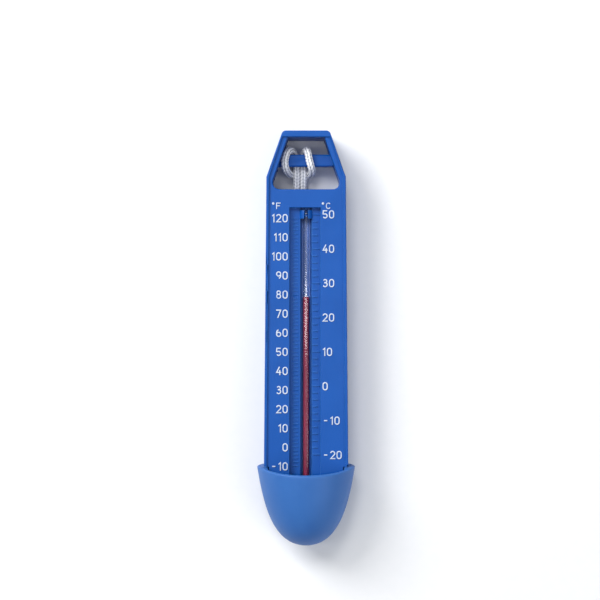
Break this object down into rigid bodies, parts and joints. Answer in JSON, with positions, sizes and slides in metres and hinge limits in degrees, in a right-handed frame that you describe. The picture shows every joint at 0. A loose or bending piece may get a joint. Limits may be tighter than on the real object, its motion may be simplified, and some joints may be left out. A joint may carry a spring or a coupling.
{
  "type": "floating pool thermometer",
  "caption": "Floating pool thermometer with a channelled blue scale plate, red spirit tube, scoop cup at the lower end and a white carrying cord.",
  "frame": {"origin": "On the resting plane, under the middle of the object's box (without the cord).", "axes": "The object lies on its back. +X runs across it to the Celsius side, +Y along it from the cup to the corded end, +Z out of the scale face."},
  "size_m": [0.0356, 0.15, 0.0286],
  "materials": {
    "housing_plastic": "injection-moulded ABS, satin, with soft sheen and faint flow marks",
    "cup_plastic": "softer, slightly milky moulded polyethylene, matt",
    "foam": "closed-cell foam",
    "tube_glass": "clear drawn glass",
    "spirit": "red dyed spirit",
    "sleeve_rubber": "soft translucent silicone",
    "figure_paint": "white hot-stamped paint on raised figures, slightly uneven",
    "cord_braid": "white braided nylon, light sheen",
    "sleeve_metal": "crimped aluminium, brushed",
    "tie": "black plastic-coated twist tie"
  },
  "bodies": {
    "thermometer": {"front_housing": "housing_plastic", "rear_cover": "housing_plastic", "float_strip_left": "foam", "float_strip_right": "foam", "scoop_cup": "cup_plastic", "glass_tube": "tube_glass", "bulb_spirit": "spirit", "bulb_sleeve": "sleeve_rubber", "fahrenheit_figures": "figure_paint", "celsius_figures": "figure_paint", "cord_run": "cord_braid", "cord_hank": "cord_braid", "end_sleeve": "sleeve_metal", "hank_tie": "tie"},
    "spirit": {"spirit_column": "spirit", "spirit_meniscus": "spirit"}
  },
  "joints": [
    {"name": "spirit_rise", "type": "slide", "parent": "thermometer", "child": "spirit", "axis": [0, 1, 0], "range_m": [-0.0569, 0.0297], "deforming": ["spirit_column"]}
  ]
}
